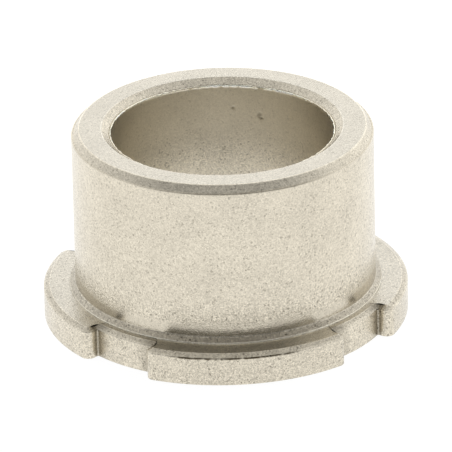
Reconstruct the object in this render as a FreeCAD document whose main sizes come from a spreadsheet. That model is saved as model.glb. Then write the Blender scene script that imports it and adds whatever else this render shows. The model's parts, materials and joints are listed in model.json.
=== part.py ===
import FreeCAD, Part
import os
import Sketcher

# Flanged axle bushing of pressed and sintered steel, one piece.
# Frame: +Z runs up the bore, the flange's flat underside lies on z = 0, and the
# four lugs of the flange point along +X, +Y, -X and -Y. Millimetres.

NODE = "axle_bushing"

# Driving sizes
SIZES = [
    ("bore_diameter", 19.2, "running bore for an axle of 19.05"),
    ("sleeve_wall", 3.4, "bore to the outside of the sleeve, which is 26 across"),
    ("overall_height", 17.2, "underside of the flange to the sleeve's free end"),
    ("flange_thickness", 2.8, "underside to the flange's seat"),
    ("flange_bevel_reach", 0.5, "bevel along the flange's outline, inwards"),
    ("flange_bevel_drop", 0.3, "the same bevel, downwards"),
    ("notch_count", 4, "notches round the flange"),
    ("notch_width", 5.9, "between the parallel sides of a notch"),
    ("notch_ledge", 0.98, "end of the foot's cone to the notch floor"),
    ("notch_depth", 1.27, "notch floor to the lug's outer face, 31.5 across"),
    ("notch_root_radius", 0.15, "inner upright corners of a notch"),
    ("lug_crest_radius", 0.2, "a lug's corners, inside the bevel"),
    ("foot_reach", 0.5, "cone at the sleeve's foot, outwards"),
    ("foot_rise", 0.4, "the same cone, upwards"),
    ("foot_step", 0.05, "step from the seat up to the cone"),
    ("lead_reach", 0.55, "bevel of the sleeve's free end, inwards"),
    ("lead_drop", 0.62, "the same bevel, downwards"),
    ("lead_land", 0.08, "flat between that bevel and the sleeve wall"),
    ("mouth_reach", 0.69, "bevel at each end of the bore, outwards"),
    ("mouth_drop", 0.56, "the same bevel, along the bore"),
    ("mouth_land", 0.12, "flat between that bevel and the bore wall"),
    ("edge_radius", 0.12, "rounded edges of the free end's flat ring"),
]

# Distances from the bore's axis, from the inside out, as formulas of the sizes
BORE = "sizes.bore_diameter / 2"
MOUTH_FOOT = f"{BORE} + sizes.mouth_land"
MOUTH_TOP = f"{MOUTH_FOOT} + sizes.mouth_reach"
SLEEVE = f"{BORE} + sizes.sleeve_wall"
LEAD_FOOT = f"{SLEEVE} - sizes.lead_land"
LEAD_TOP = f"{LEAD_FOOT} - sizes.lead_reach"
FOOT = f"{SLEEVE} + sizes.foot_reach"
NOTCH_FLOOR = f"{FOOT} + sizes.notch_ledge"
FLANGE = f"{NOTCH_FLOOR} + sizes.notch_depth"
LUG_CORNER = "sizes.flange_bevel_reach + sizes.lug_crest_radius"

# Heights above the underside, likewise
SEAT = "sizes.flange_thickness"
STEP_TOP = f"{SEAT} + sizes.foot_step"
FREE_END = "sizes.overall_height"
RIM_TOP = f"{FREE_END} - sizes.lead_drop"
MOUTH_LOW = f"{FREE_END} - sizes.mouth_drop"

# Tolerance for finding edges by their place
NEAR = 0.001


def fill_sheet(doc):
    """Write the driving sizes into the spreadsheet, one named cell each."""
    sheet = doc.addObject("Spreadsheet::Sheet", "sizes")
    for row, (name, value, meaning) in enumerate(SIZES, start=1):
        sheet.set(f"A{row}", name)
        sheet.set(f"B{row}", str(value))
        sheet.set(f"C{row}", meaning)
        sheet.setAlias(f"B{row}", name)
    doc.recompute()
    return sheet


def origin_feature(body, role):
    """The plane or axis of the body's own origin that has this role."""
    for feature in body.Origin.OriginFeatures:
        if feature.Role == role:
            return feature
    raise ValueError(f"no origin feature {role}")


def new_sketch(body, name, plane):
    """A sketch laid flat on one of the body's origin planes."""
    sketch = body.newObject("Sketcher::SketchObject", name)
    sketch.AttachmentSupport = [(origin_feature(body, plane), "")]
    sketch.MapMode = "FlatFace"
    return sketch


def drive(sketch, name, formula, constraint):
    """Add a named constraint and bind its value to the sheet."""
    index = sketch.addConstraint(constraint)
    sketch.renameConstraint(index, name)
    sketch.setExpression(f"Constraints.{name}", formula)


def section_corners():
    """Corners of the turned half section: name, distance from the axis and height."""
    return [
        ("lower_mouth", MOUTH_TOP, "0 mm"),
        ("underside", FLANGE, "0 mm"),
        ("flange_edge", FLANGE, SEAT),
        ("seat_end", FOOT, SEAT),
        ("step_top", FOOT, STEP_TOP),
        ("wall_foot", SLEEVE, f"{STEP_TOP} + sizes.foot_rise"),
        ("wall_top", SLEEVE, RIM_TOP),
        ("lead_foot", LEAD_FOOT, RIM_TOP),
        ("lead_top", LEAD_TOP, FREE_END),
        ("mouth_top", MOUTH_TOP, FREE_END),
        ("mouth_foot", MOUTH_FOOT, MOUTH_LOW),
        ("bore_top", BORE, MOUTH_LOW),
        ("bore_low", BORE, "sizes.mouth_drop"),
        ("lower_mouth_foot", MOUTH_FOOT, "sizes.mouth_drop"),
    ]


def plain(sheet, formula):
    """The number that a formula gives with the sheet's present values."""
    result = sheet.evalExpression(formula)
    return float(getattr(result, "Value", result))


def draw_section(body, sheet):
    """Half section of the whole piece before its notches are cut."""
    sketch = new_sketch(body, "turned_section", "XZ_Plane")
    corners = section_corners()
    points = [FreeCAD.Vector(plain(sheet, across), plain(sheet, up), 0) for name, across, up in corners]
    count = len(points)
    for index in range(count):
        sketch.addGeometry(Part.LineSegment(points[index], points[(index + 1) % count]), False)
    for index in range(count):
        sketch.addConstraint(Sketcher.Constraint("Coincident", index, 2, (index + 1) % count, 1))
    for index, (name, across, up) in enumerate(corners):
        place = points[index]
        drive(sketch, f"{name}_x", across, Sketcher.Constraint("DistanceX", -1, 1, index, 1, place.x))
        if place.y == 0:
            sketch.addConstraint(Sketcher.Constraint("PointOnObject", index, 1, -1))
        else:
            drive(sketch, f"{name}_z", up, Sketcher.Constraint("DistanceY", -1, 1, index, 1, place.y))
    return sketch


def turn_body(body, sheet):
    """Revolve the section into sleeve and flange."""
    turned = body.newObject("PartDesign::Revolution", "turned")
    sketch = draw_section(body, sheet)
    turned.Profile = sketch
    turned.ReferenceAxis = (sketch, ["V_Axis"])
    turned.Angle = 360
    return turned


def draw_notch(body, sheet):
    """Plan of one notch: a floor that follows the bore's circle and parallel sides."""
    sketch = new_sketch(body, "notch_plan", "XY_Plane")
    sketch.setExpression("AttachmentOffset.Rotation.Angle", "180 deg / sizes.notch_count")
    floor = plain(sheet, NOTCH_FLOOR)
    half = plain(sheet, "sizes.notch_width / 2")
    beyond = plain(sheet, f"{FLANGE} + sizes.notch_depth")
    inner = (floor ** 2 - half ** 2) ** 0.5
    low_in = FreeCAD.Vector(inner, -half, 0)
    low_out = FreeCAD.Vector(beyond, -half, 0)
    high_out = FreeCAD.Vector(beyond, half, 0)
    high_in = FreeCAD.Vector(inner, half, 0)
    middle = FreeCAD.Vector(floor, 0, 0)
    low_side, outer_side, high_side, floor_arc = range(4)
    sketch.addGeometry(Part.LineSegment(low_in, low_out), False)
    sketch.addGeometry(Part.LineSegment(low_out, high_out), False)
    sketch.addGeometry(Part.LineSegment(high_out, high_in), False)
    sketch.addGeometry(Part.Arc(low_in, middle, high_in), False)
    sketch.addConstraint([
        Sketcher.Constraint("Coincident", low_side, 2, outer_side, 1),
        Sketcher.Constraint("Coincident", outer_side, 2, high_side, 1),
        Sketcher.Constraint("Coincident", high_side, 2, floor_arc, 2),
        Sketcher.Constraint("Coincident", floor_arc, 1, low_side, 1),
        Sketcher.Constraint("Coincident", floor_arc, 3, -1, 1),
        Sketcher.Constraint("Horizontal", low_side),
        Sketcher.Constraint("Horizontal", high_side),
        Sketcher.Constraint("Symmetric", low_side, 2, high_side, 1, -1),
    ])
    drive(sketch, "floor_radius", NOTCH_FLOOR, Sketcher.Constraint("Radius", floor_arc, floor))
    drive(sketch, "width", "sizes.notch_width",
          Sketcher.Constraint("DistanceY", low_side, 2, high_side, 1, 2 * half))
    drive(sketch, "beyond_flange", f"{FLANGE} + sizes.notch_depth",
          Sketcher.Constraint("DistanceX", -1, 1, low_side, 2, beyond))
    return sketch


def cut_notches(body, sheet):
    """Cut one notch up through the flange and repeat it round the bore."""
    notch = body.newObject("PartDesign::Pocket", "notch")
    notch.Profile = draw_notch(body, sheet)
    notch.Type = "Length"
    notch.Reversed = True
    notch.setExpression("Length", STEP_TOP)
    body.Document.recompute()
    notches = body.newObject("PartDesign::PolarPattern", "notches")
    notches.Originals = [notch]
    notches.Axis = (origin_feature(body, "Z_Axis"), [""])
    notches.Angle = 360
    notches.setExpression("Occurrences", "sizes.notch_count")
    body.Tip = notches
    body.Document.recompute()
    return notches


def reach_of(point):
    """Distance of a point from the bore's axis."""
    return (point.x ** 2 + point.y ** 2) ** 0.5


def edges_where(shape, chosen):
    """Names of the edges that the test picks."""
    return [f"Edge{place}" for place, edge in enumerate(shape.Edges, start=1) if chosen(edge)]


def upright_at(edge, radius):
    """Whether an edge stands upright at this distance from the bore's axis."""
    box = edge.BoundBox
    standing = box.ZLength > NEAR and box.XLength < NEAR and box.YLength < NEAR
    return standing and abs(reach_of(edge.Vertexes[0].Point) - radius) < NEAR


def level_beyond(edge, height, radius):
    """Whether an edge lies level at this height and outside this radius."""
    box = edge.BoundBox
    level = box.ZLength < NEAR and abs(box.ZMin - height) < NEAR
    return level and all(reach_of(vertex.Point) > radius for vertex in edge.Vertexes)


def ring_at(edge, height, radius):
    """Whether an edge is part of the level ring of this height and radius."""
    box = edge.BoundBox
    level = box.ZLength < NEAR and abs(box.ZMin - height) < NEAR
    return level and all(abs(reach_of(vertex.Point) - radius) < NEAR for vertex in edge.Vertexes)


def round_edges(body, name, base, edges, formula):
    """Fillet the named edges of the feature before."""
    fillet = body.newObject("PartDesign::Fillet", name)
    fillet.Base = (base, edges)
    fillet.setExpression("Radius", formula)
    body.Tip = fillet
    body.Document.recompute()
    return fillet


def bevel_flange(body, base, edges):
    """Bevel the whole upper outline of the flange, notches included."""
    bevel = body.newObject("PartDesign::Chamfer", "flange_bevel")
    bevel.Base = (base, edges)
    bevel.ChamferType = "Two distances"
    bevel.setExpression("Size", "sizes.flange_bevel_reach")
    bevel.setExpression("Size2", "sizes.flange_bevel_drop")
    bevel.FlipDirection = True
    body.Tip = bevel
    body.Document.recompute()
    return bevel


def build_bushing(doc, sheet):
    """The whole piece: turned form, notches, rounded corners and bevels."""
    body = doc.addObject("PartDesign::Body", NODE)
    body.Label = NODE
    turned = turn_body(body, sheet)
    doc.recompute()
    notches = cut_notches(body, sheet)
    if not notches.Shape.Volume < turned.Shape.Volume:
        raise ValueError("the notches cut nothing")

    flange = plain(sheet, FLANGE)
    floor = plain(sheet, NOTCH_FLOOR)
    foot = plain(sheet, FOOT)
    seat = plain(sheet, SEAT)
    roots = edges_where(notches.Shape, lambda edge: upright_at(edge, floor))
    rooted = round_edges(body, "notch_roots", notches, roots, "sizes.notch_root_radius")
    corners = edges_where(rooted.Shape, lambda edge: upright_at(edge, flange))
    cornered = round_edges(body, "lug_corners", rooted, corners, LUG_CORNER)
    outline = edges_where(cornered.Shape, lambda edge: level_beyond(edge, seat, foot + NEAR))
    bevelled = bevel_flange(body, cornered, outline)

    top = plain(sheet, FREE_END)
    outer = plain(sheet, LEAD_TOP)
    inner = plain(sheet, MOUTH_TOP)
    ring = edges_where(bevelled.Shape, lambda edge: ring_at(edge, top, outer) or ring_at(edge, top, inner))
    round_edges(body, "worn_ring", bevelled, ring, "sizes.edge_radius")
    return body


def check_document(doc):
    """Stop if any object failed or the piece is not one sound solid."""
    for item in doc.Objects:
        if "Invalid" in item.State or "Error" in item.State:
            raise ValueError(f"{item.Name} failed")
    for body in doc.findObjects("PartDesign::Body"):
        if body.Shape.isNull() or not body.Shape.isValid():
            raise ValueError(f"{body.Label} is not a sound shape")


def main():
    """Build the document and write each body to its own STEP file."""
    doc = FreeCAD.newDocument("bushing")
    sheet = fill_sheet(doc)
    build_bushing(doc, sheet)
    doc.recompute()
    check_document(doc)
    os.makedirs("parts", exist_ok=True)
    for body in doc.findObjects("PartDesign::Body"):
        body.Shape.exportStep(os.path.join("parts", f"{body.Label}.step"))
        box = body.Shape.BoundBox
        print(f"{body.Label}: {len(body.Shape.Faces)} faces, volume {body.Shape.Volume:.1f} mm3,"
              f" {box.XLength:.2f} x {box.YLength:.2f} x {box.ZLength:.2f} mm")


main()
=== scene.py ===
"""Flanged axle bushing of pressed and sintered steel, standing on its flange on a light table."""

import json
import math
from collections import namedtuple

import bmesh
import bpy
from bpy.props import FloatProperty, FloatVectorProperty, PointerProperty
from mathutils import Euler, Matrix, Vector, noise


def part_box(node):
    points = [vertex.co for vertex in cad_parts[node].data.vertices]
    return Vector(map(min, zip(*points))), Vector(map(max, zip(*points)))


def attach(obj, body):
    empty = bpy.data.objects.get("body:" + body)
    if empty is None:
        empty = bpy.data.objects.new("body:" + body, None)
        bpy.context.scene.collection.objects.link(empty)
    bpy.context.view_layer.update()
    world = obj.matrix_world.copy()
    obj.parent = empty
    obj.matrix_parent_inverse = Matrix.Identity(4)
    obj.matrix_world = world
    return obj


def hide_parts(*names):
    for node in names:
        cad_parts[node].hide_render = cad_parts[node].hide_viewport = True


bl_info = {
    "name": "Axle Bushing",
    "version": (1, 0, 0),
    "blender": (4, 5, 0),
    "location": "3D View > Sidebar > Bushing",
    "description": "Builds a notched flange bushing of sintered steel and its light table",
    "category": "Object",
}

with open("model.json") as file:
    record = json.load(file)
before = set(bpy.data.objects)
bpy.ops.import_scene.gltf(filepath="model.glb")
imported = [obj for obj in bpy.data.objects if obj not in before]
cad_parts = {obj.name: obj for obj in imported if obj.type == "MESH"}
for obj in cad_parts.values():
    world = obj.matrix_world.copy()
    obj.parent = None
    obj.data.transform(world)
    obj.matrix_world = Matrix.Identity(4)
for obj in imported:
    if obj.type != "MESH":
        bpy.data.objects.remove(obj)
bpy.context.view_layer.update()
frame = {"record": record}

MM = 0.001
NODE = "axle_bushing"
BODY = "root"
MOUNTS = {mount["name"]: mount for mount in frame["record"]["mounts"]}
LOW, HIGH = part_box(NODE)


# Settings that a user would change

class BushingSizes(bpy.types.PropertyGroup):
    """Sizes of the turned section and of the notched flange."""

    bore_radius: FloatProperty(
        name="Bore radius", description="Wall of the bore",
        default=MOUNTS["bore"]["dims"]["r_mm"] * MM, unit="LENGTH", precision=5)
    sleeve_radius: FloatProperty(
        name="Sleeve radius", description="Outside of the sleeve",
        default=MOUNTS["sleeve"]["dims"]["r_mm"] * MM, unit="LENGTH", precision=5)
    flange_radius: FloatProperty(
        name="Flange radius", description="Outer face of the lugs",
        default=HIGH.x, unit="LENGTH", precision=5)
    height: FloatProperty(
        name="Height", description="Underside to free end",
        default=HIGH.z, unit="LENGTH", precision=5)
    seat_height: FloatProperty(
        name="Seat height", description="Underside to the upper side of the flange",
        default=MOUNTS["seat"]["pos_m"][2], unit="LENGTH", precision=5)
    flange_bevel_reach: FloatProperty(
        name="Flange bevel reach", description="Bevel along the flange's outline, measured inwards",
        default=0.5 * MM, unit="LENGTH", precision=5)
    flange_bevel_drop: FloatProperty(
        name="Flange bevel drop", description="Bevel along the flange's outline, measured downwards",
        default=0.3 * MM, unit="LENGTH", precision=5)
    notch_width: FloatProperty(
        name="Notch width", description="Side to side of a notch",
        default=5.9 * MM, unit="LENGTH", precision=5)
    notch_depth: FloatProperty(
        name="Notch depth", description="Lug face to notch floor",
        default=1.27 * MM, unit="LENGTH", precision=5)
    notch_root_radius: FloatProperty(
        name="Notch root radius", description="Inner corners of a notch",
        default=0.15 * MM, unit="LENGTH", precision=5)
    lug_corner_radius: FloatProperty(
        name="Lug corner radius", description="Outer corners of a lug",
        default=0.7 * MM, unit="LENGTH", precision=5)
    foot_reach: FloatProperty(
        name="Foot reach", description="Cone at the sleeve's foot, measured outwards",
        default=0.5 * MM, unit="LENGTH", precision=5)
    foot_rise: FloatProperty(
        name="Foot rise", description="Cone at the sleeve's foot, measured upwards",
        default=0.4 * MM, unit="LENGTH", precision=5)
    foot_step: FloatProperty(
        name="Foot step", description="Step from the seat up to that cone",
        default=0.05 * MM, unit="LENGTH", precision=5)
    lead_reach: FloatProperty(
        name="Lead reach", description="Outer bevel of the free end, measured inwards",
        default=0.55 * MM, unit="LENGTH", precision=5)
    lead_drop: FloatProperty(
        name="Lead drop", description="Outer bevel of the free end, measured downwards",
        default=0.62 * MM, unit="LENGTH", precision=5)
    lead_land: FloatProperty(
        name="Lead land", description="Flat ring between that bevel and the sleeve",
        default=0.08 * MM, unit="LENGTH", precision=5)
    mouth_reach: FloatProperty(
        name="Mouth reach", description="Bevel of the bore's mouth, measured outwards",
        default=0.69 * MM, unit="LENGTH", precision=5)
    mouth_drop: FloatProperty(
        name="Mouth drop", description="Bevel of the bore's mouth, measured along the bore",
        default=0.56 * MM, unit="LENGTH", precision=5)
    mouth_land: FloatProperty(
        name="Mouth land", description="Ring between that bevel and the bore, where the bead lies",
        default=0.12 * MM, unit="LENGTH", precision=5)
    ring_edge: FloatProperty(
        name="Ring edge", description="Rounding of both edges of the free end's flat ring",
        default=0.12 * MM, unit="LENGTH", precision=5)
    fine_edge: FloatProperty(
        name="Fine edge", description="Rounding of the small edges",
        default=0.04 * MM, unit="LENGTH", precision=5)
    flash: FloatProperty(
        name="Flash", description="Unevenness of the pressed edges",
        default=0.04 * MM, unit="LENGTH", precision=5)
    # Painted shade that darkens the inner corners of the notches, where less light reaches
    notch_corner_shade: FloatProperty(
        name="Notch corner shade", description="Darkness of the inner corners of the notches",
        default=0.6, min=0.0, max=1.0, subtype="FACTOR")


class SteelFinish(bpy.types.PropertyGroup):
    """Colours and grain of the sintered steel."""

    metal: FloatVectorProperty(
        name="Metal", description="Pressed skin of the metal", size=3, subtype="COLOR",
        default=(0.71, 0.653, 0.537), min=0.0, max=1.0)
    pore: FloatVectorProperty(
        name="Pore", description="Open pores between the grains", size=3, subtype="COLOR",
        default=(0.28, 0.25, 0.195), min=0.0, max=1.0)
    tarnish: FloatVectorProperty(
        name="Tarnish", description="Greyer skin of the flat faces and of the bore", size=3,
        subtype="COLOR", default=(0.637, 0.60, 0.515), min=0.0, max=1.0)
    roughness: FloatProperty(
        name="Roughness", description="Roughness of the pressed skin", default=0.23,
        min=0.0, max=1.0, subtype="FACTOR")
    polished: FloatProperty(
        name="Polished", description="Roughness where the skin is polished", default=0.12,
        min=0.0, max=1.0, subtype="FACTOR")
    grain_width: FloatProperty(
        name="Grain width", description="Width of one grain of powder",
        default=0.134 * MM, unit="LENGTH", precision=5)
    grain_relief: FloatProperty(
        name="Grain relief", description="Height of the grains",
        default=0.021 * MM, unit="LENGTH", precision=5)
    mottle: FloatProperty(
        name="Mottle", description="How much the tone changes from grain to grain", default=0.9,
        min=0.0)
    pinholes: FloatProperty(
        name="Pinholes", description="Darkness of the pinholes in the skin", default=0.32,
        min=0.0, max=1.0, subtype="FACTOR")


class StageLook(bpy.types.PropertyGroup):
    """Where the camera stands and how the light falls."""

    azimuth: FloatProperty(
        name="Azimuth", description="Camera's place round the bore",
        default=math.radians(-6.92), subtype="ANGLE")
    elevation: FloatProperty(
        name="Elevation", description="Camera's height above the table, as an angle",
        default=math.radians(24.68), subtype="ANGLE")
    lean: FloatProperty(
        name="Lean", description="Camera's turn about its own line of sight",
        default=math.radians(-1.31), subtype="ANGLE")
    distance: FloatProperty(
        name="Distance", description="Camera to the middle of the bushing",
        default=712.0 * MM, unit="LENGTH")
    focal_length: FloatProperty(
        name="Focal length", description="Focal length of the camera",
        default=657.5, unit="CAMERA")
    across: FloatProperty(
        name="Across", description="Camera moved to its right",
        default=0.146 * MM, unit="LENGTH", precision=5)
    up: FloatProperty(
        name="Up", description="Camera moved upwards",
        default=-0.89 * MM, unit="LENGTH", precision=5)
    table: FloatVectorProperty(
        name="Table", description="Colour of the light table", size=3, subtype="COLOR",
        default=(1.0, 1.0, 1.0), min=0.0, max=1.0)
    glow: FloatProperty(
        name="Glow", description="Light that the table gives off", default=0.925, min=0.0)
    far_glow: FloatProperty(
        name="Far glow", description="More light from the table behind the bushing",
        default=0.12, min=0.0)
    room: FloatProperty(
        name="Room", description="Light from all over the room", default=0.255, min=0.0)
    walls: FloatProperty(
        name="Walls", description="Light from the white walls beside and behind",
        default=0.66, min=0.0)
    wall_top: FloatProperty(
        name="Wall top", description="Height where the walls' light ends, as an angle",
        default=math.radians(64.2), subtype="ANGLE")
    wall_blur: FloatProperty(
        name="Wall blur", description="Width of the walls' soft upper edge, as an angle",
        default=math.radians(62.6), subtype="ANGLE")
    wall_start: FloatProperty(
        name="Wall start", description="Turn from the camera's side to where the walls begin",
        default=math.radians(57.0), subtype="ANGLE")
    wall_fade: FloatProperty(
        name="Wall fade", description="Turn over which the walls grow to full light",
        default=math.radians(10.0), subtype="ANGLE")
    box: FloatProperty(
        name="Soft box", description="Light from the soft box overhead", default=0.77, min=0.0)
    box_rise: FloatProperty(
        name="Soft box rise", description="Turn from the camera's horizon up and over to the soft box",
        default=math.radians(122.6), subtype="ANGLE")
    box_spread: FloatProperty(
        name="Soft box spread", description="Reach of the soft box's light, as an angle",
        default=math.radians(84.9), subtype="ANGLE")
    back: FloatProperty(
        name="Back panel", description="Light from the white panel behind", default=0.82, min=0.0)
    back_rise: FloatProperty(
        name="Back panel rise", description="Turn from the camera's horizon over to the back panel",
        default=math.radians(176.9), subtype="ANGLE")
    back_spread: FloatProperty(
        name="Back panel spread", description="Reach of the back panel's light, as an angle",
        default=math.radians(22.9), subtype="ANGLE")
    fill: FloatProperty(
        name="Fill panel", description="Light from the small panel above the camera", default=0.24,
        min=0.0)
    fill_rise: FloatProperty(
        name="Fill panel rise", description="Turn from the camera's horizon up to the fill panel",
        default=math.radians(53.7), subtype="ANGLE")
    fill_spread: FloatProperty(
        name="Fill panel spread", description="Reach of the fill panel's light, as an angle",
        default=math.radians(20.6), subtype="ANGLE")
    side: FloatProperty(
        name="Side panel", description="Light from the panel on the camera's right", default=0.28,
        min=0.0)
    side_turn: FloatProperty(
        name="Side panel turn", description="Turn from the camera's side to the side panel",
        default=math.radians(110.0), subtype="ANGLE")
    side_rise: FloatProperty(
        name="Side panel rise", description="Height of the side panel, as an angle",
        default=math.radians(18.0), subtype="ANGLE")
    side_spread: FloatProperty(
        name="Side panel spread", description="Reach of the side panel's light, as an angle",
        default=math.radians(60.0), subtype="ANGLE")


# Section of the bushing

# A corner has its place, the rounding of its edge, how far the edge strays (jag), and the
# darkness of the edge itself (line), mostly painted shade in grooves and corners. The rest is its
# finish: grain, the darkness of the plain face that follows (dark), in places painted shade,
# tarnish, polish, and the painted shade that darkens the part in front and behind.
# Darkness below 0 is brighter metal, mostly painted highlights on edges, and polish below 0 is
# rougher metal.
Corner = namedtuple("Corner", "x z radius jag line grain dark tarnish polish stain",
                    defaults=(0.0,) * 8)
Station = namedtuple("Station", "x z jag dark grain tarnish polish stain")

# Heights where the finish of the bore changes
BORE_BRIGHT = 8.7 * MM
BORE_OPEN = 10.6 * MM
BORE_DULL = 11.8 * MM
BORE_SMOOTH = 13.0 * MM

# Heights where the finish of the sleeve changes
SLEEVE_OPEN = 6.5 * MM
SLEEVE_COARSE = 4.7 * MM
SLEEVE_SMOOTH = 4.0 * MM


def bore_corners(sizes):
    """From the underside up the wall of the bore to just below its mouth."""
    fine = sizes.fine_edge
    flash = sizes.flash
    bore = sizes.bore_radius
    drop = sizes.mouth_drop
    mouth = sizes.height - drop
    bevel_foot = bore + sizes.mouth_land
    bevel_top = bevel_foot + sizes.mouth_reach
    skin = {"tarnish": 0.5, "polish": -1.0}
    return [
        Corner(bevel_top, 0.0, radius=fine, grain=0.9),
        Corner(bevel_foot, drop, radius=fine, line=0.2, grain=0.5),
        Corner(bore, drop, radius=fine * 0.5, grain=0.9, **skin),
        Corner(bore, BORE_BRIGHT, line=-0.2, grain=1.4, **skin),
        Corner(bore, BORE_OPEN, line=0.14, grain=1.2, **skin),
        Corner(bore, BORE_DULL, line=0.24, grain=0.8, **skin),
        Corner(bore, BORE_SMOOTH, line=0.14, grain=0.5, **skin),
        Corner(bore, mouth - flash * 4.5, line=0.04, grain=0.4, **skin),
        Corner(bore, mouth - flash * 1.5, grain=0.2, **skin),
    ]


def bead_corners(sizes):
    """Bead of flash round the bore's mouth painted bright as a highlight, and the groove outside it
    painted dark as shade.
    """
    fine = sizes.fine_edge
    hair = fine * 0.5
    flash = sizes.flash
    bore = sizes.bore_radius
    mouth = sizes.height - sizes.mouth_drop
    lip = bore - flash * 0.6
    crest = bore + flash * 0.8
    fin = bore + flash * 2.5
    groove = fin + flash * 0.4
    groove_top = mouth + flash * 2.9 * (sizes.mouth_drop / sizes.mouth_reach)
    return [
        Corner(lip, mouth - flash * 1.0, jag=flash * 2.0, line=-1.0, grain=0.2),
        Corner(lip, mouth + flash * 1.0, jag=flash * 3.0, line=-1.1, grain=0.2),
        Corner(crest, mouth + flash * 2.6, fine, flash * 3.0, line=-0.7, grain=0.2, dark=-0.5),
        Corner(fin, mouth + flash * 2.2, fine, flash * 1.5, line=-0.5, grain=0.4),
        Corner(groove, mouth - flash * 0.2, hair, flash * 0.8, line=1.2, grain=0.6),
        Corner(fin + flash * 1.4, groove_top, hair, flash * 0.3, line=0.6, grain=1.3, dark=0.04,
               stain=0.17),
    ]


def free_end_corners(sizes):
    """Flat ring of the free end, its outer bevel and the narrow land beside the sleeve, with painted
    highlights on the ring's edges and on the land, and painted shade at the junctions below the bevel.
    """
    hair = sizes.fine_edge * 0.5
    edge = sizes.ring_edge
    flash = sizes.flash
    top = sizes.height
    sleeve = sizes.sleeve_radius
    ring_in = sizes.bore_radius + sizes.mouth_land + sizes.mouth_reach
    lead = top - sizes.lead_drop
    lead_foot = sleeve - sizes.lead_land
    lead_top = lead_foot - sizes.lead_reach
    return [
        Corner(ring_in, top, edge, flash * 0.15, line=-0.25, grain=0.7, dark=0.1, tarnish=0.8),
        Corner(lead_top, top, edge, flash * 0.15, line=-0.35, grain=1.1),
        Corner(lead_foot - hair, lead - hair, hair, flash * 0.3, line=0.2, grain=0.6, stain=0.9),
        Corner(lead_foot + hair, lead + hair, hair, flash * 0.3, line=-0.4, grain=0.6),
        Corner(sleeve, lead, hair, flash * 0.5, line=0.2, grain=0.8, stain=0.8),
        Corner(sleeve, lead - flash * 2.0, jag=flash * 0.2, line=0.1, grain=0.8, stain=0.5),
        Corner(sleeve, lead - flash * 4.0, grain=0.9),
    ]


def foot_corners(sizes):
    """Down the sleeve and over the stepped cone at its foot, with painted shade on the sleeve's lower
    wall, on the cone and in the corner at the seat, and a painted highlight on the cone's lip.
    """
    fine = sizes.fine_edge
    flash = sizes.flash
    sleeve = sizes.sleeve_radius
    seat = sizes.seat_height
    step = seat + sizes.foot_step
    foot = sleeve + sizes.foot_reach
    cone = step + sizes.foot_rise
    return [
        Corner(sleeve, SLEEVE_OPEN, grain=1.1),
        Corner(sleeve, SLEEVE_COARSE, grain=1.8, polish=1.0, stain=0.12),
        Corner(sleeve, SLEEVE_SMOOTH, line=0.1, grain=0.6, dark=0.1, polish=1.0, stain=0.12),
        Corner(sleeve, cone, sizes.ring_edge, flash * 0.2, line=0.3, grain=1.8, dark=0.45,
               polish=0.2, stain=0.5),
        Corner(foot, step + flash, fine, flash * 0.3, line=-0.6, grain=0.3, dark=0.65),
        Corner(foot, seat, fine * 0.5, flash * 0.2, line=0.6, grain=1.2, dark=0.18, tarnish=0.8,
               polish=0.3, stain=-0.45),
    ]


def flange_corners(sizes):
    """Upper side, bevel and wall of the flange, down to the underside, with a painted highlight on the
    bevel's upper edge, painted shade on the bevel, and a painted shadow under the flash along the
    front lug's edge.
    """
    fine = sizes.fine_edge
    flash = sizes.flash
    flange = sizes.flange_radius
    seat = sizes.seat_height
    reach = sizes.flange_bevel_reach
    drop = sizes.flange_bevel_drop
    wall_top = seat - drop
    return [
        Corner(flange - reach, seat, fine, flash * 0.3, line=-0.2, grain=1.6, dark=0.3, stain=0.07),
        Corner(flange - reach * 0.45, seat - drop * 0.55, line=0.3, grain=1.6, dark=0.3, stain=0.12),
        Corner(flange - reach * 0.15, seat - drop * 0.85, jag=flash * 0.5, line=0.4, grain=1.3),
        Corner(flange, wall_top, fine, flash * 0.9, line=1.35, grain=1.3),
        Corner(flange, wall_top - flash * 2.0, jag=flash * 0.5, line=1.2, grain=1.3),
        Corner(flange, wall_top - flash * 4.0, grain=1.5, stain=0.1),
        Corner(flange, 0.0, fine, grain=0.6),
    ]


def section_corners(sizes):
    """Closed half section: up the bore, over the free end, down the sleeve, round the flange."""
    parts = (bore_corners, bead_corners, free_end_corners, foot_corners, flange_corners)
    return [corner for part in parts for corner in part(sizes)]


# Edges with a larger radius than these are rounded in more steps
BROAD_EDGE = 0.1 * MM
NARROW_EDGE = 0.03 * MM

# Distance from a rounding to the station that keeps the face beside it plain
SUPPORT = 0.03 * MM

# A face shorter than this gets one more such station, further off, before a ragged edge
SHORT_FACE = 1.0 * MM
FAR_SUPPORT = 5 * SUPPORT

# Most of a face that the rounding at one of its ends may take
ROUNDING_SHARE = 0.45


def rounding_steps(radius):
    """How many steps the rounding of an edge takes."""
    if radius > BROAD_EDGE:
        return 4
    if radius > NARROW_EDGE:
        return 2
    return 1


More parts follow.
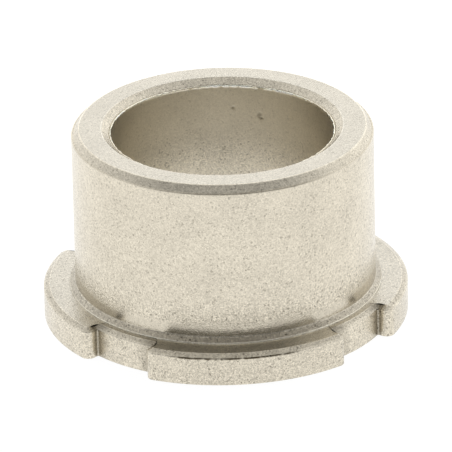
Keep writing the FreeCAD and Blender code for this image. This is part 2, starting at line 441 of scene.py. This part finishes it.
def soften(corners):
    """Round every corner of a closed section into stations, with one more beside each rounding."""
    stations = []

    def face(point, corner):
        """Station on the plain face that follows a corner."""
        finish = (corner.dark, corner.grain, corner.tarnish, corner.polish, corner.stain)
        stations.append(Station(point.x, point.y, 0.0, *finish))

    for index, corner in enumerate(corners):
        last = corners[index - 1]
        following = corners[(index + 1) % len(corners)]
        skin = (corner.tarnish, corner.polish, corner.stain)
        if corner.radius == 0:
            edge = (corner.jag, corner.line, corner.grain)
            stations.append(Station(corner.x, corner.z, *edge, *skin))
            continue
        here = Vector((corner.x, corner.z))
        back = Vector((last.x, last.z)) - here
        ahead = Vector((following.x, following.z)) - here
        one = back.normalized()
        two = ahead.normalized()
        half = one.angle(two) / 2
        room_left = (back.length * ROUNDING_SHARE, ahead.length * ROUNDING_SHARE)
        cut = min(corner.radius / math.tan(half), *room_left)
        radius = cut * math.tan(half)
        centre = here + (one + two).normalized() * (radius / math.sin(half))
        steps = rounding_steps(corner.radius)
        if back.length > 2 * (cut + SUPPORT):
            if corner.jag and back.length < SHORT_FACE:
                face(here + one * (cut + FAR_SUPPORT), last)
            face(here + one * (cut + SUPPORT), last)
        for step in range(steps + 1):
            share = step / steps
            chord = here + one * cut * (1 - share) + two * cut * share
            point = centre + (chord - centre).normalized() * radius
            grain = last.grain + (corner.grain - last.grain) * share
            stations.append(Station(point.x, point.y, corner.jag, corner.line, grain, *skin))
        if ahead.length > 2 * (cut + SUPPORT):
            face(here + two * (cut + SUPPORT), corner)
    return stations


# Where pits lie the wall gets more rings: from one height to another in millimetres, and how many
BORE_LEVELS = ((13.64, 14.42, 12), (14.50, 14.86, 5))
SLEEVE_LEVELS = ((4.06, 4.62, 6), (11.65, 11.95, 4))

# Two radii closer than this are the same wall
SAME_WALL = 1e-9


def levels_between(spans):
    """Evenly spaced heights in metres over spans given in millimetres."""
    levels = []
    for low, high, count in spans:
        levels += [(low + (high - low) * step / (count - 1)) * MM for step in range(count)]
    return levels


def add_levels(stations, radius, spans):
    """Put more stations on the upright wall of the given radius."""
    levels = levels_between(spans)
    out = []
    for index, here in enumerate(stations):
        out.append(here)
        there = stations[(index + 1) % len(stations)]
        upright = abs(here.x - radius) < SAME_WALL and abs(there.x - radius) < SAME_WALL
        if not upright:
            continue
        low, high = sorted((here.z, there.z))
        between = [level for level in levels if low < level < high]
        between.sort(reverse=here.z > there.z)
        for level in between:
            share = (level - here.z) / (there.z - here.z)
            values = [one + (two - one) * share for one, two in zip(here, there)]
            out.append(Station(*values)._replace(jag=0.0))
    return out


# Plan of the notched flange

# A spot on the flange's outline has its outward direction, the angle at which the round parts
# of the bushing meet it, and how much painted shade darkens it near the notches' corners
Spot = namedtuple("Spot", "edge way angle dirt")

# Share of the way from a notch's middle to its corner where the painted shade begins
NOTCH_SHADE_START = 0.5


def ray(angle):
    """Direction in plan of an angle in radians that runs from +X."""
    return Vector((math.cos(angle), math.sin(angle)))


def half_lug(sizes, floor_steps=22, root_steps=6, side_steps=3, corner_steps=12, lug_steps=56):
    """Outline from the middle of a notch, which points along x, to the middle of a lug."""
    flange = sizes.flange_radius
    floor = flange - sizes.notch_depth
    half = sizes.notch_width / 2
    corner = sizes.lug_corner_radius
    root = sizes.notch_root_radius
    reach = math.sqrt((flange - corner) ** 2 - (half + corner) ** 2)
    inner = math.sqrt((floor + root) ** 2 - (half - root) ** 2)
    floor_angle = math.atan2(half - root, inner)
    lug_angle = math.atan2(half + corner, reach)

    outline = []
    for step in range(floor_steps):
        angle = floor_angle * step / floor_steps
        # Painted shade grows towards the notch's corners and fills its root and sides
        gathered = max(0.0, step / floor_steps - NOTCH_SHADE_START) / (1.0 - NOTCH_SHADE_START)
        outline.append(Spot(ray(angle) * floor, ray(angle), angle, sizes.notch_corner_shade * gathered))
    bends = []
    start = floor_angle + math.pi
    for step in range(root_steps):
        way = ray(start + (math.pi / 2 - start) * step / root_steps)
        bends.append((Vector((inner, half - root)) + way * root, -way))
    for step in range(side_steps):
        share = step / side_steps
        bends.append((Vector((inner + (reach - inner) * share, half)), Vector((0.0, -1.0))))
    for step in range(corner_steps):
        way = ray((lug_angle + math.pi / 2) * step / corner_steps - math.pi / 2)
        bends.append((Vector((reach, half + corner)) + way * corner, way))
    for place, (point, way) in enumerate(bends):
        angle = floor_angle + (lug_angle - floor_angle) * place / len(bends)
        dirt = sizes.notch_corner_shade if place < root_steps + side_steps else 0.0
        outline.append(Spot(point, way, angle, dirt))
    for step in range(lug_steps + 1):
        angle = lug_angle + (math.pi / 4 - lug_angle) * step / lug_steps
        outline.append(Spot(ray(angle) * flange, ray(angle), angle, 0.0))
    return outline


def flange_outline(sizes):
    """Whole outline of the flange, with its lugs on the axes and its notches between them."""
    half = half_lug(sizes)
    other = []
    for edge, way, angle, dirt in half[:0:-1]:
        other.append((Vector((edge.x, -edge.y)), Vector((way.x, -way.y)), -angle, dirt))
    quarter = other + half[:-1]
    outline = []
    for count in range(4):
        turn = math.pi / 4 + count * math.pi / 2
        spin = Matrix.Rotation(turn, 2)
        for edge, way, angle, dirt in quarter:
            outline.append(Spot(spin @ edge, spin @ way, angle + turn, dirt))
    return outline


def place_in_plan(sizes, station, spot):
    """Where a station lies in plan on the spoke of a spot, which way is out, and the painted shade of
    the notch corners there.
    """
    foot = sizes.sleeve_radius + sizes.foot_reach
    ledge = sizes.flange_radius - sizes.flange_bevel_reach
    spoke = ray(spot.angle)
    if station.x <= foot:
        return spoke * station.x, spoke, 0.0
    if station.x >= ledge:
        return spot.edge - spot.way * (sizes.flange_radius - station.x), spot.way, spot.dirt
    share = (station.x - foot) / (ledge - foot)
    bevel_edge = spot.edge - spot.way * sizes.flange_bevel_reach
    return (spoke * foot).lerp(bevel_edge, share), spot.way, spot.dirt * share


# Marks that the powder, the press and handling leave

# A pit's angle is in degrees from -Y towards +X, its lengths in millimetres, its darkness a share
Pit = namedtuple("Pit", "angle reach z width depth dark")

PITS = [
    Pit(153.2, 9.6, 14.06, 0.34, 0.018, 0.75),
    Pit(152.2, 9.6, 13.82, 0.13, 0.05, 0.9),
    Pit(167.3, 9.6, 14.60, 0.17, 0.03, 1.0),
    Pit(6.6, 13.2, 3.08, 0.16, 0.08, 1.0),
    Pit(8.1, 13.2, 3.08, 0.12, 0.06, 0.9),
    Pit(-43.5, 13.0, 11.80, 0.13, 0.0, 0.8),
    Pit(0.1, 13.0, 4.15, 0.10, 0.03, 0.7),
    Pit(0.1, 13.0, 4.35, 0.10, 0.03, 0.7),
    Pit(0.2, 13.0, 4.50, 0.09, 0.02, 0.5),
    Pit(29.9, 12.65, 16.88, 0.13, 0.04, 0.9),
    Pit(-23.8, 12.75, 16.78, 0.12, 0.04, 0.8),
    Pit(-56.9, 15.7, 2.5, 0.16, 0.06, 0.9),
    Pit(56.7, 14.5, 2.5, 0.14, 0.06, 0.9),
    Pit(55.3, 15.6, 2.5, 0.16, 0.06, 0.9),
]

# Below 1, a pit has a flatter floor and steeper sides
PIT_SHAPE = 0.7

# Angles between which a painted shadow runs, dark and ragged, under the flash along the front lug's
# edge, and its fade inside them
FRONT_RUN = (-27.0, 18.0)
FRONT_FADE = 7.0

# Distance from the inner edge of the flange's bevel where that painted shadow may begin
FRONT_EDGE = 0.1 * MM

# Angle to either side of the front and of the back over which the painted front and back shade fades
FRONT_BACK_SHADE_REACH = 40.0

# Darkest that marks and painted shade may add up to
DARKEST = 1.5

# Points nearer than this to the flat face of the free end keep their height
FACE_GAP = 0.001 * MM

# Two sizes of smooth random waves laid over each other: widths, share of the narrow one, seeds
Waves = namedtuple("Waves", "wide narrow share wide_seed narrow_seed")
FRONT_EDGE_SHADOW_WAVES = Waves(0.5 * MM, 0.25 * MM, 1.0, 31.0, 37.0)
EDGE_RUNS = Waves(2.5 * MM, 0.5 * MM, 0.7, 41.0, 31.0)
FLASH_OUT = Waves(0.35 * MM, 0.14 * MM, 0.6, 3.0, 8.0)
FLASH_UP = Waves(0.3 * MM, 0.12 * MM, 0.6, 17.0, 23.0)

# How the waves break up an edge's tone: its middle, the swing about it, its least and its most
Breaks = namedtuple("Breaks", "middle swing least most")
FRONT_BREAKS = Breaks(1.0, 0.9, 0.35, 3.0)
LIGHT_BREAKS = Breaks(1.0, 0.6, 0.6, 1.3)
DARK_BREAKS = Breaks(0.7, 1.2, 0.0, 1.2)


def clamp(value, least, most):
    """The value, or the nearer limit where it lies outside them."""
    return max(least, min(most, value))


def bearing(point):
    """Angle in degrees of a point in plan, from -Y towards +X."""
    return math.degrees(math.atan2(point.x, -point.y))


def heading(angle):
    """Direction in plan of an angle in degrees that runs from -Y towards +X."""
    flat = ray(math.radians(angle - 90.0))
    return Vector((flat.x, flat.y, 0.0))


def wave(point, width, seed):
    """Smooth random value between -1 and 1 that changes over the given width."""
    return noise.noise(point / width + Vector((seed, seed * 0.7, seed * 1.3)))


def uneven(point, waves):
    """Smooth random value of two sizes of waves at a point."""
    wide = wave(point, waves.wide, waves.wide_seed)
    return wide + waves.share * wave(point, waves.narrow, waves.narrow_seed)


def broken(value, breaks):
    """Share of an edge's tone that a random value leaves."""
    return clamp(breaks.middle + breaks.swing * value, breaks.least, breaks.most)


def front_edge_shadow(point):
    """Share of the painted shadow under the front lug's ragged edge at a point."""
    inside = min(bearing(point) - FRONT_RUN[0], FRONT_RUN[1] - bearing(point))
    return clamp(inside / FRONT_FADE, 0.0, 1.0) * broken(uneven(point, FRONT_EDGE_SHADOW_WAVES), FRONT_BREAKS)


def front_back_shade_share(point):
    """Share of the painted shade (painted light where it is below 0) at a point: full in front and
    behind, none at the sides.
    """
    aside = min(abs(bearing(point)), 180.0 - abs(bearing(point)))
    return max(0.0, 1.0 - (aside / FRONT_BACK_SHADE_REACH) ** 2)


def stray(point, out, jag, may_rise):
    """Move a point of a ragged edge by a random part of its jag, out or in, and up or down."""
    point += Vector((out.x, out.y, 0.0)) * (uneven(point, FLASH_OUT) * jag * 0.5)
    if may_rise:
        point.z += uneven(point, FLASH_UP) * jag * 0.5


def keep_in_box(point):
    """Move a point that strayed out of the solid's box back to its side."""
    for axis in range(3):
        point[axis] = clamp(point[axis], LOW[axis], HIGH[axis])


def press_pits(mesh, dark):
    """Push the small pits into the finished skin and darken them."""
    mesh.normal_update()
    for pit in PITS:
        centre = heading(pit.angle) * (pit.reach * MM) + Vector((0.0, 0.0, pit.z * MM))
        width = pit.width * MM
        for vert in mesh.verts:
            away = (vert.co - centre).length
            if away < width:
                share = math.cos(away / width * math.pi / 2) ** PIT_SHAPE
                vert[dark] = max(vert[dark], pit.dark * share)
                vert.co -= vert.normal * (pit.depth * MM * share)


def build_mesh(sizes):
    """Skin of the whole bushing as rings of points joined into one closed tube."""
    stations = soften(section_corners(sizes))
    stations = add_levels(stations, sizes.bore_radius, BORE_LEVELS)
    stations = add_levels(stations, sizes.sleeve_radius, SLEEVE_LEVELS)
    outline = flange_outline(sizes)
    lug_edge = sizes.flange_radius - sizes.flange_bevel_reach + FRONT_EDGE

    mesh = bmesh.new()
    grain = mesh.verts.layers.float.new("grain")
    dark = mesh.verts.layers.float.new("dark")
    tarnish = mesh.verts.layers.float.new("tarnish")
    polish = mesh.verts.layers.float.new("polish")
    rings = []
    for station in stations:
        may_rise = 0.0 < station.z < sizes.height - FACE_GAP
        ring = []
        for spot in outline:
            flat, out, dirt = place_in_plan(sizes, station, spot)
            point = Vector((flat.x, flat.y, station.z))
            # The dark value holds painted light besides real marks: painted shade in grooves, corners
            # and notches, painted highlights below 0, the painted shadow along the front lug's edge,
            # and painted shade in front and behind
            shade = station.dark
            if station.jag and station.x > lug_edge:
                shade *= front_edge_shadow(point)
            elif station.jag:
                breaks = LIGHT_BREAKS if shade < 0 else DARK_BREAKS
                shade *= broken(uneven(point, EDGE_RUNS), breaks)
                stray(point, out, station.jag, may_rise)
            keep_in_box(point)
            shade += station.stain * front_back_shade_share(point)
            vert = mesh.verts.new(point)
            vert[grain] = station.grain
            vert[dark] = min(DARKEST, shade + dirt)
            vert[tarnish] = station.tarnish
            vert[polish] = station.polish
            ring.append(vert)
        rings.append(ring)
    for index, ring in enumerate(rings):
        following = rings[(index + 1) % len(rings)]
        for place in range(len(outline)):
            after = (place + 1) % len(outline)
            face = mesh.faces.new((ring[place], following[place], following[after], ring[after]))
            face.smooth = True
    press_pits(mesh, dark)
    return mesh


# Finish

def node(tree, kind, place, label, **settings):
    """Add a shader node with a label, and set its sockets and its own settings by name."""
    made = tree.nodes.new(kind)
    made.location = place
    made.label = label
    for name, value in settings.items():
        socket = name.replace("_", " ")
        if socket in made.inputs:
            made.inputs[socket].default_value = value
        else:
            setattr(made, name, value)
    return made


def arithmetic(tree, place, label, operation, *parts):
    """Add a Math node, whose inputs are numbers or the outputs of other nodes."""
    made = node(tree, "ShaderNodeMath", place, label, operation=operation)
    for socket, part in zip(made.inputs, parts):
        if isinstance(part, bpy.types.NodeSocket):
            tree.links.new(part, socket)
        else:
            socket.default_value = part
    return made.outputs["Value"]


# Flecks of the fine powder and of the cloudy skin across one grain's width
POWDER_FINENESS = 1.1
CLOUD_FINENESS = 0.04

# Weight of the round grains in the relief, next to 1 for the fine powder, and the mean of both
GRAIN_WEIGHT = 0.35
MEAN_RELIEF = 0.5 + GRAIN_WEIGHT * 0.5

# Places of the two colours and of the mixed colour among the sockets of a Mix node
MIX_FIRST = 6
MIX_SECOND = 7
MIX_RESULT = 2


def sintered_steel(finish):
    """Pressed powder metal: pale warm grains with darker pores between them."""
    material = bpy.data.materials.new("Sintered steel")
    material.use_nodes = True
    tree = material.node_tree
    tree.nodes.clear()
    link = tree.links.new
    output = node(tree, "ShaderNodeOutputMaterial", (900, 0), "Surface")
    skin = node(tree, "ShaderNodeBsdfPrincipled", (600, 0), "Metal", Metallic=1.0)
    link(skin.outputs["BSDF"], output.inputs["Surface"])

    place = node(tree, "ShaderNodeTexCoord", (-1400, 0), "Place on the bushing")
    tarnish = node(tree, "ShaderNodeAttribute", (-1400, 600), "Tarnish", attribute_name="tarnish")
    # The dark attribute carries the pits together with painted shade, and below 0 painted highlights
    marks_and_shade = node(tree, "ShaderNodeAttribute", (-1400, 300), "Marks", attribute_name="dark")
    strength = node(tree, "ShaderNodeAttribute", (-1400, -300), "Open grain", attribute_name="grain")
    shine = node(tree, "ShaderNodeAttribute", (-1400, -600), "Polish", attribute_name="polish")

    grains = node(tree, "ShaderNodeTexVoronoi", (-1100, -150), "Grains",
                  Scale=1.0 / finish.grain_width, Randomness=1.0)
    powder = node(tree, "ShaderNodeTexNoise", (-1100, -400), "Powder",
                  Scale=POWDER_FINENESS / finish.grain_width, Detail=3.0, Roughness=0.65)
    clouds = node(tree, "ShaderNodeTexNoise", (-1100, 350), "Cloudy skin",
                  Scale=CLOUD_FINENESS / finish.grain_width, Detail=2.0, Roughness=0.5)
    for texture in (grains, powder, clouds):
        link(place.outputs["Object"], texture.inputs["Vector"])

    lumpy = arithmetic(tree, (-850, -250), "Grains and powder", "MULTIPLY_ADD",
                       grains.outputs["Color"], GRAIN_WEIGHT, powder.outputs["Fac"])
    height = arithmetic(tree, (-650, -250), "Grain height", "SUBTRACT", lumpy, MEAN_RELIEF)
    relief = arithmetic(tree, (-450, -250), "Height by open grain", "MULTIPLY",
                        height, strength.outputs["Fac"])

    tone = node(tree, "ShaderNodeMapRange", (-650, 350), "Cloudy tone", clamp=True,
                From_Min=0.3, From_Max=0.7, To_Min=0.96, To_Max=1.04)
    link(clouds.outputs["Fac"], tone.inputs["Value"])
    grainy = arithmetic(tree, (-250, 300), "Grainy tone", "MULTIPLY_ADD",
                        relief, finish.mottle, tone.outputs["Result"])

    pinholes = node(tree, "ShaderNodeMapRange", (-650, 100), "Pinholes", clamp=True,
                    From_Min=0.16, From_Max=0.11, To_Max=finish.pinholes)
    link(grains.outputs["Color"], pinholes.inputs["Value"])
    open_holes = arithmetic(tree, (-450, 100), "Pinholes by open grain", "MULTIPLY",
                            pinholes.outputs["Result"], strength.outputs["Fac"])
    darker = arithmetic(tree, (-250, 100), "Marks and pinholes", "ADD",
                        open_holes, marks_and_shade.outputs["Fac"])
    greyed = node(tree, "ShaderNodeMix", (-450, 550), "Metal and tarnish", data_type="RGBA")
    greyed.inputs[MIX_FIRST].default_value = (*finish.metal, 1.0)
    greyed.inputs[MIX_SECOND].default_value = (*finish.tarnish, 1.0)
    link(tarnish.outputs["Fac"], greyed.inputs[0])
    # The factor is not clamped, so darkness below 0 paints a highlight brighter than the metal
    shade = node(tree, "ShaderNodeMix", (-50, 100), "Metal and marks", data_type="RGBA",
                 clamp_factor=False)
    shade.inputs[MIX_SECOND].default_value = (*finish.pore, 1.0)
    link(greyed.outputs[MIX_RESULT], shade.inputs[MIX_FIRST])
    link(darker, shade.inputs[0])
    toned = node(tree, "ShaderNodeVectorMath", (200, 150), "Toned metal", operation="SCALE")
    link(shade.outputs[MIX_RESULT], toned.inputs[0])
    link(grainy, toned.inputs["Scale"])
    link(toned.outputs["Vector"], skin.inputs["Base Color"])

    rough = node(tree, "ShaderNodeMapRange", (200, -150), "Roughness", clamp=False,
                 To_Min=finish.roughness, To_Max=finish.polished)
    link(shine.outputs["Fac"], rough.inputs["Value"])
    link(rough.outputs["Result"], skin.inputs["Roughness"])
    bump = node(tree, "ShaderNodeBump", (200, -400), "Grain", Distance=finish.grain_relief,
                Strength=1.0)
    link(relief, bump.inputs["Height"])
    link(bump.outputs["Normal"], skin.inputs["Normal"])
    return material


# Stage

# Half of the light table's side
TABLE_REACH = 4.0

# Share of its own colour that the table reflects
TABLE_PAINT = 0.16

# Where the table's far glow begins and is full, from the bushing's axis away from the camera
GLOW_START = -20.0 * MM
GLOW_FULL = 30.0 * MM

# Point on the bushing's axis that the camera's place is measured from
MIDDLE = Vector((0.0, 0.0, 8.65 * MM))


def away_from_camera(look):
    """Level direction from the camera to the bushing."""
    return (-math.sin(look.azimuth), math.cos(look.azimuth), 0.0)


def light_table(look):
    """Even white floor that glows, as under a product photograph."""
    mesh = bpy.data.meshes.new("Light_table")
    side = TABLE_REACH
    corners = [(-side, -side, 0.0), (side, -side, 0.0), (side, side, 0.0), (-side, side, 0.0)]
    mesh.from_pydata(corners, [], [(0, 1, 2, 3)])
    floor = bpy.data.objects.new("Light_table", mesh)
    bpy.context.scene.collection.objects.link(floor)
    material = bpy.data.materials.new("Light table")
    material.use_nodes = True
    surface = material.node_tree.nodes["Principled BSDF"]
    surface.inputs["Base Color"].default_value = (*[TABLE_PAINT * part for part in look.table], 1.0)
    surface.inputs["Roughness"].default_value = 0.9
    surface.inputs["Specular IOR Level"].default_value = 0.0
    surface.inputs["Emission Color"].default_value = (*look.table, 1.0)
    tree = material.node_tree
    place = node(tree, "ShaderNodeTexCoord", (-900, 0), "Place on the table")
    depth = node(tree, "ShaderNodeVectorMath", (-700, 0), "Depth behind the bushing",
                 operation="DOT_PRODUCT")
    depth.inputs[1].default_value = away_from_camera(look)
    glow = node(tree, "ShaderNodeMapRange", (-500, 0), "Glow", interpolation_type="SMOOTHSTEP",
                From_Min=GLOW_START, From_Max=GLOW_FULL,
                To_Min=look.glow, To_Max=look.glow + look.far_glow)
    tree.links.new(place.outputs["Object"], depth.inputs[0])
    tree.links.new(depth.outputs["Value"], glow.inputs["Value"])
    tree.links.new(glow.outputs["Result"], surface.inputs["Emission Strength"])
    mesh.materials.append(material)


def room(look):
    """White room, dimmer where the photographer stands."""
    world = bpy.data.worlds.new("White room")
    bpy.context.scene.world = world
    world.use_nodes = True
    tree = world.node_tree
    tree.nodes.clear()
    link = tree.links.new
    output = node(tree, "ShaderNodeOutputWorld", (900, 0), "Room")
    backdrop = node(tree, "ShaderNodeBackground", (500, 150), "Backdrop",
                    Color=(1.0, 1.0, 1.0, 1.0), Strength=1.0)
    light = node(tree, "ShaderNodeBackground", (500, -50), "Soft light", Strength=1.0)
    choice = node(tree, "ShaderNodeMixShader", (700, 0), "Backdrop or light")
    path = node(tree, "ShaderNodeLightPath", (500, 450), "Seen directly")
    link(path.outputs["Is Camera Ray"], choice.inputs["Fac"])
    link(light.outputs["Background"], choice.inputs[1])
    link(backdrop.outputs["Background"], choice.inputs[2])
    link(choice.outputs["Shader"], output.inputs["Surface"])

    way = node(tree, "ShaderNodeTexCoord", (-900, 0), "Direction")
    parts = node(tree, "ShaderNodeSeparateXYZ", (-700, 200), "Height of the direction")
    link(way.outputs["Generated"], parts.inputs["Vector"])
    low = node(tree, "ShaderNodeMapRange", (-500, 200), "Low walls",
               interpolation_type="SMOOTHSTEP", From_Min=math.sin(look.wall_top),
               From_Max=math.sin(look.wall_top - look.wall_blur))
    link(parts.outputs["Z"], low.inputs["Value"])

    away = node(tree, "ShaderNodeVectorMath", (-700, 0), "Away from the camera",
                operation="DOT_PRODUCT")
    away.inputs[1].default_value = away_from_camera(look)
    link(way.outputs["Generated"], away.inputs[0])
    beside = node(tree, "ShaderNodeMapRange", (-500, 0), "Beside and behind",
                  interpolation_type="SMOOTHSTEP", From_Min=-math.cos(look.wall_start),
                  From_Max=-math.cos(look.wall_start + look.wall_fade))
    link(away.outputs["Value"], beside.inputs["Value"])
    walls = arithmetic(tree, (-250, 100), "Walls", "MULTIPLY",
                       low.outputs["Result"], beside.outputs["Result"])
    total = arithmetic(tree, (0, 100), "Walls and room", "MULTIPLY_ADD",
                       walls, look.walls, look.room)
    panels = (
        ("Soft box", 0.0, look.box_rise, look.box_spread, look.box),
        ("Back panel", 0.0, look.back_rise, look.back_spread, look.back),
        ("Fill panel", 0.0, look.fill_rise, look.fill_spread, look.fill),
        ("Side panel", look.side_turn, look.side_rise, look.side_spread, look.side),
    )
    for place, (name, turn, rise, spread, amount) in enumerate(panels):
        height = -250 - 250 * place
        turn += look.azimuth
        facing = node(tree, "ShaderNodeVectorMath", (-700, height), "Towards " + name.lower(),
                      operation="DOT_PRODUCT")
        facing.inputs[1].default_value = (math.sin(turn) * math.cos(rise),
                                          -math.cos(turn) * math.cos(rise), math.sin(rise))
        link(way.outputs["Generated"], facing.inputs[0])
        panel = node(tree, "ShaderNodeMapRange", (-500, height), name,
                     interpolation_type="SMOOTHSTEP", From_Min=math.cos(spread), To_Max=amount)
        link(facing.outputs["Value"], panel.inputs["Value"])
        total = arithmetic(tree, (150 + 150 * place, height), "And " + name.lower(), "ADD",
                           total, panel.outputs["Result"])
    link(total, light.inputs["Strength"])


def camera(look):
    """Long lens at the height and turn of the photograph."""
    data = bpy.data.cameras.new("Camera")
    data.sensor_fit = "HORIZONTAL"
    data.sensor_width = 36.0
    data.lens = look.focal_length
    data.clip_start = 0.01
    data.clip_end = 20.0
    holder = bpy.data.objects.new("Camera", data)
    bpy.context.scene.collection.objects.link(holder)
    turn = Euler((math.pi / 2 - look.elevation, 0.0, look.azimuth)).to_matrix()
    turn = turn @ Matrix.Rotation(look.lean, 3, "Z")
    place = MIDDLE + turn @ Vector((look.across, look.up, look.distance))
    holder.matrix_world = Matrix.Translation(place) @ turn.to_4x4()
    bpy.context.scene.camera = holder


# Operators

class BushingAdd(bpy.types.Operator):
    """Add the bushing with its sintered finish"""

    bl_idname = "mesh.axle_bushing_add"
    bl_label = "Axle Bushing"
    bl_options = {"REGISTER", "UNDO"}

    def execute(self, context):
        scene = context.scene
        skin = build_mesh(scene.bushing_sizes)
        mesh = bpy.data.meshes.new("Axle_bushing")
        skin.to_mesh(mesh)
        skin.free()
        mesh.materials.append(sintered_steel(scene.bushing_finish))
        piece = bpy.data.objects.new("Axle_bushing", mesh)
        scene.collection.objects.link(piece)
        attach(piece, BODY)
        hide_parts(NODE)
        return {"FINISHED"}


class BushingStage(bpy.types.Operator):
    """Set up the light table, the soft room and the camera"""

    bl_idname = "scene.axle_bushing_stage"
    bl_label = "Light Table and Camera"
    bl_options = {"REGISTER", "UNDO"}

    def execute(self, context):
        look = context.scene.bushing_stage
        light_table(look)
        room(look)
        camera(look)
        context.scene.view_settings.view_transform = "Standard"
        return {"FINISHED"}


class BushingPanel(bpy.types.Panel):
    """Sizes, finish and stage of the bushing"""

    bl_idname = "VIEW3D_PT_axle_bushing"
    bl_label = "Axle Bushing"
    bl_space_type = "VIEW_3D"
    bl_region_type = "UI"
    bl_category = "Bushing"

    def draw(self, context):
        layout = self.layout
        layout.use_property_split = True
        groups = (
            (BushingAdd.bl_idname, context.scene.bushing_sizes),
            (None, context.scene.bushing_finish),
            (BushingStage.bl_idname, context.scene.bushing_stage),
        )
        for operator, settings in groups:
            column = layout.column(align=True)
            for name in type(settings).__annotations__:
                column.prop(settings, name)
            if operator:
                layout.operator(operator)


CLASSES = (BushingSizes, SteelFinish, StageLook, BushingAdd, BushingStage, BushingPanel)


def register():
    for cls in CLASSES:
        bpy.utils.register_class(cls)
    bpy.types.Scene.bushing_sizes = PointerProperty(type=BushingSizes)
    bpy.types.Scene.bushing_finish = PointerProperty(type=SteelFinish)
    bpy.types.Scene.bushing_stage = PointerProperty(type=StageLook)


def unregister():
    del bpy.types.Scene.bushing_stage
    del bpy.types.Scene.bushing_finish
    del bpy.types.Scene.bushing_sizes
    for cls in reversed(CLASSES):
        bpy.utils.unregister_class(cls)


def main():
    register()
    bpy.ops.mesh.axle_bushing_add()
    bpy.ops.scene.axle_bushing_stage()


if __name__ == "__main__":
    main()
